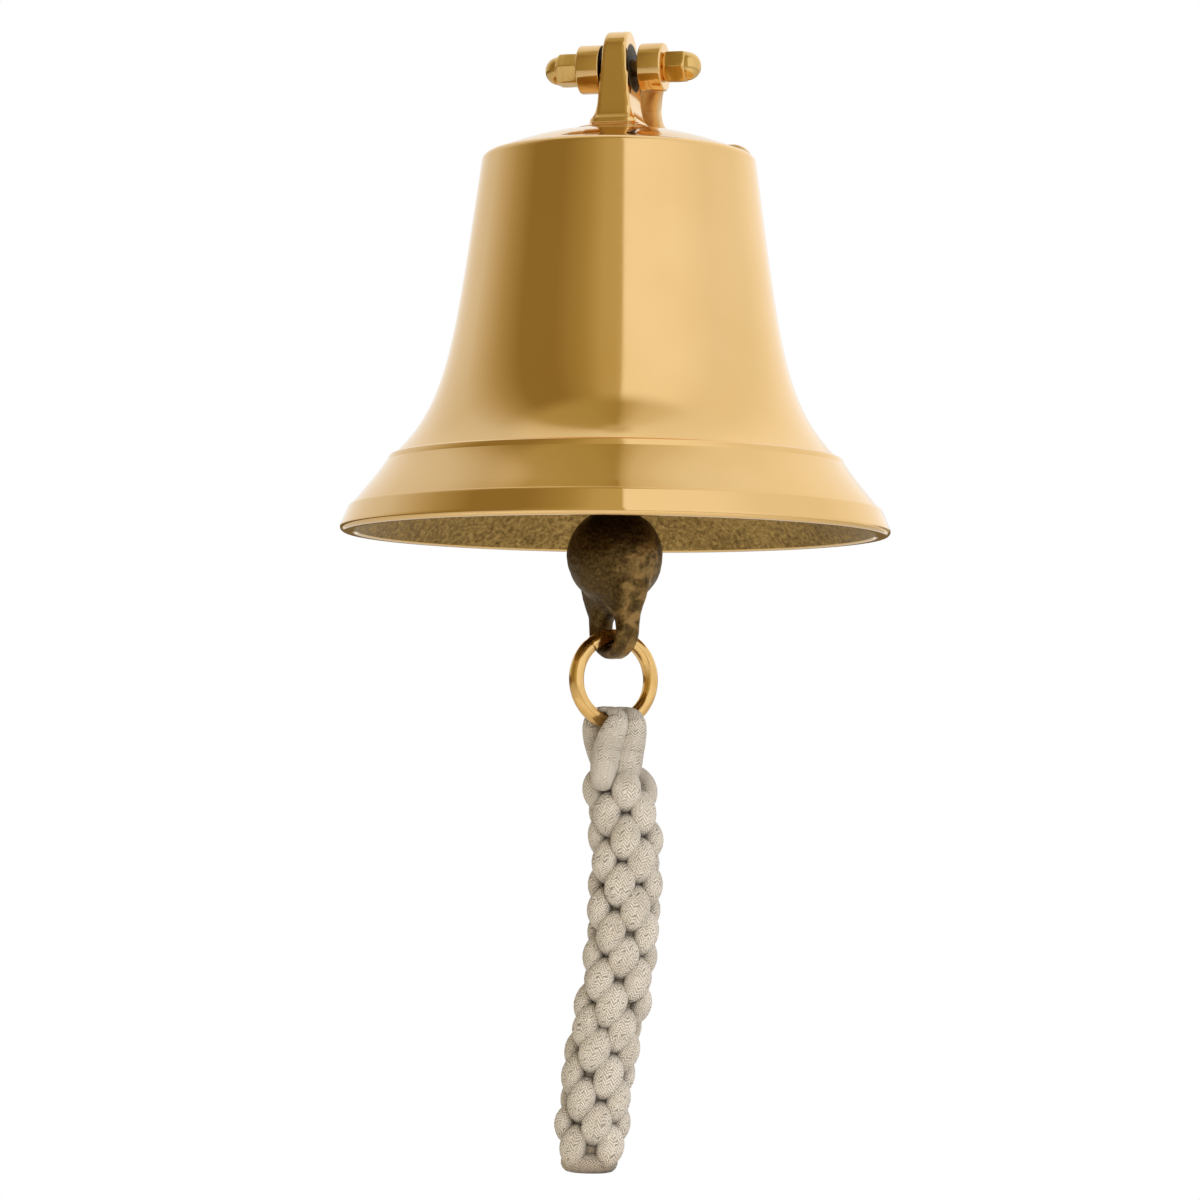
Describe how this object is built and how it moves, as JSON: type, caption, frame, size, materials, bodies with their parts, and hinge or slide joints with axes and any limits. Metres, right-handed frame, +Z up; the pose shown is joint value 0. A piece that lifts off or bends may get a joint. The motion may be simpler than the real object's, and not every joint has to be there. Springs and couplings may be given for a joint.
{
  "type": "ship bell",
  "caption": "Flared brass ship bell hung in the fork of a wall bracket, with a swinging clapper, pull ring and braided rope lanyard.",
  "frame": {"origin": "centre of the wall plate's back face", "axes": "+Z up along the bell's axis, -Y to the front, away from the wall, +Y out of the wall plate's back face"},
  "size_m": [0.2032, 0.2296, 0.4224],
  "materials": {
    "cast_brass": "polished",
    "stud_brass": "turned",
    "nut_brass": "polished",
    "bell_brass": "mirror polished outside, rough cast inside",
    "staple_steel": "forged",
    "rough_brass": "as cast",
    "ring_brass": "polished",
    "rope": "braided cotton"
  },
  "bodies": {
    "bracket": {"wall_bracket": "cast_brass", "hanger_bolt": "stud_brass", "left_acorn_nut": "nut_brass", "right_acorn_nut": "nut_brass"},
    "bell": {"bell": "bell_brass", "clapper_staple": "staple_steel"},
    "clapper": {"clapper": "rough_brass"},
    "ring": {"pull_ring": "ring_brass"},
    "lanyard": {"lanyard_eye": "rope", "lanyard_braid": "rope"}
  },
  "joints": [
    {"name": "bell_swing", "type": "hinge", "parent": "bracket", "child": "bell", "pos_m": [0, -0.128, 0.0417], "axis": [1, 0, 0], "range_deg": [-7, 7]},
    {"name": "clapper_swing", "type": "hinge", "parent": "bell", "child": "clapper", "pos_m": [0, -0.128, -0.01], "axis": [1, 0, 0], "range_deg": [-30, 30]},
    {"name": "ring_swing", "type": "hinge", "parent": "clapper", "child": "ring", "pos_m": [0, -0.128, -0.16965], "axis": [-0.7071, -0.7071, 0], "range_deg": [-60, 60]},
    {"name": "lanyard_swing", "type": "hinge", "parent": "ring", "child": "lanyard", "pos_m": [0, -0.128, -0.20115], "axis": [-0.7071, -0.7071, 0], "range_deg": [-45, 45]}
  ]
}
